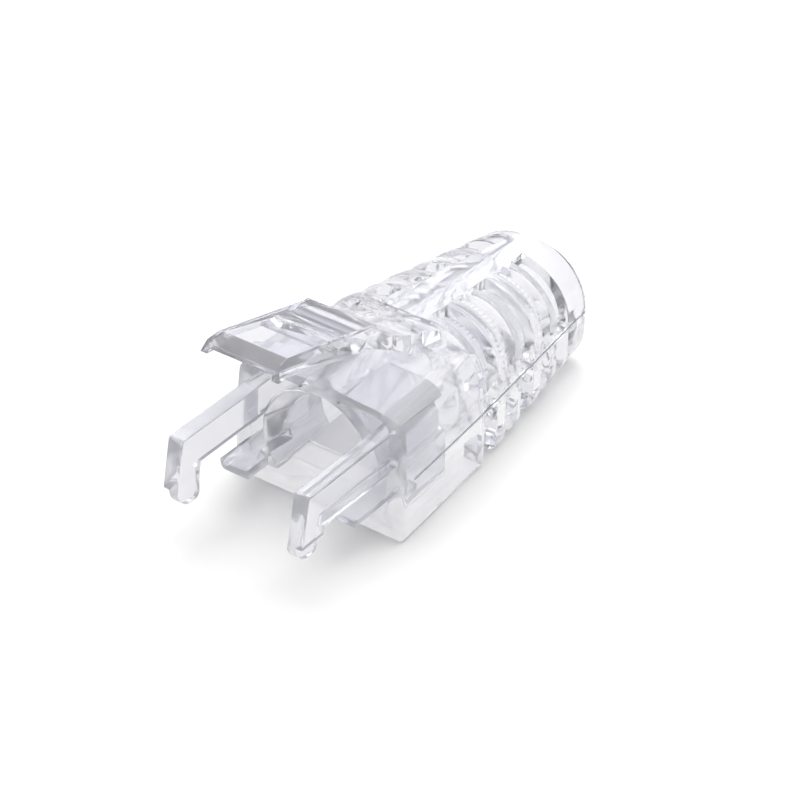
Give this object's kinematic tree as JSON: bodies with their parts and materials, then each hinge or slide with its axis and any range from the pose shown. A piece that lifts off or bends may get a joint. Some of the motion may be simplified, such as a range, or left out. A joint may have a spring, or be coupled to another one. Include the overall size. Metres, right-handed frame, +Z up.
{
  "type": "cable strain relief boot",
  "caption": "Clear one-piece strain relief boot for a modular network plug: open housing with hooked side prongs, a raised latch hood and a tapered ribbed cable tail.",
  "frame": {"origin": "centre of the bounding box in X and Y, at the height of the flat base", "axes": "+X to the right across the housing, +Y from the prongs toward the tail along the cable, +Z up toward the latch hood"},
  "size_m": [0.0134, 0.0321, 0.0153],
  "materials": {
    "clear_plastic": "polished clear moulding"
  },
  "bodies": {
    "root": {"boot": "clear_plastic"}
  },
  "joints": []
}
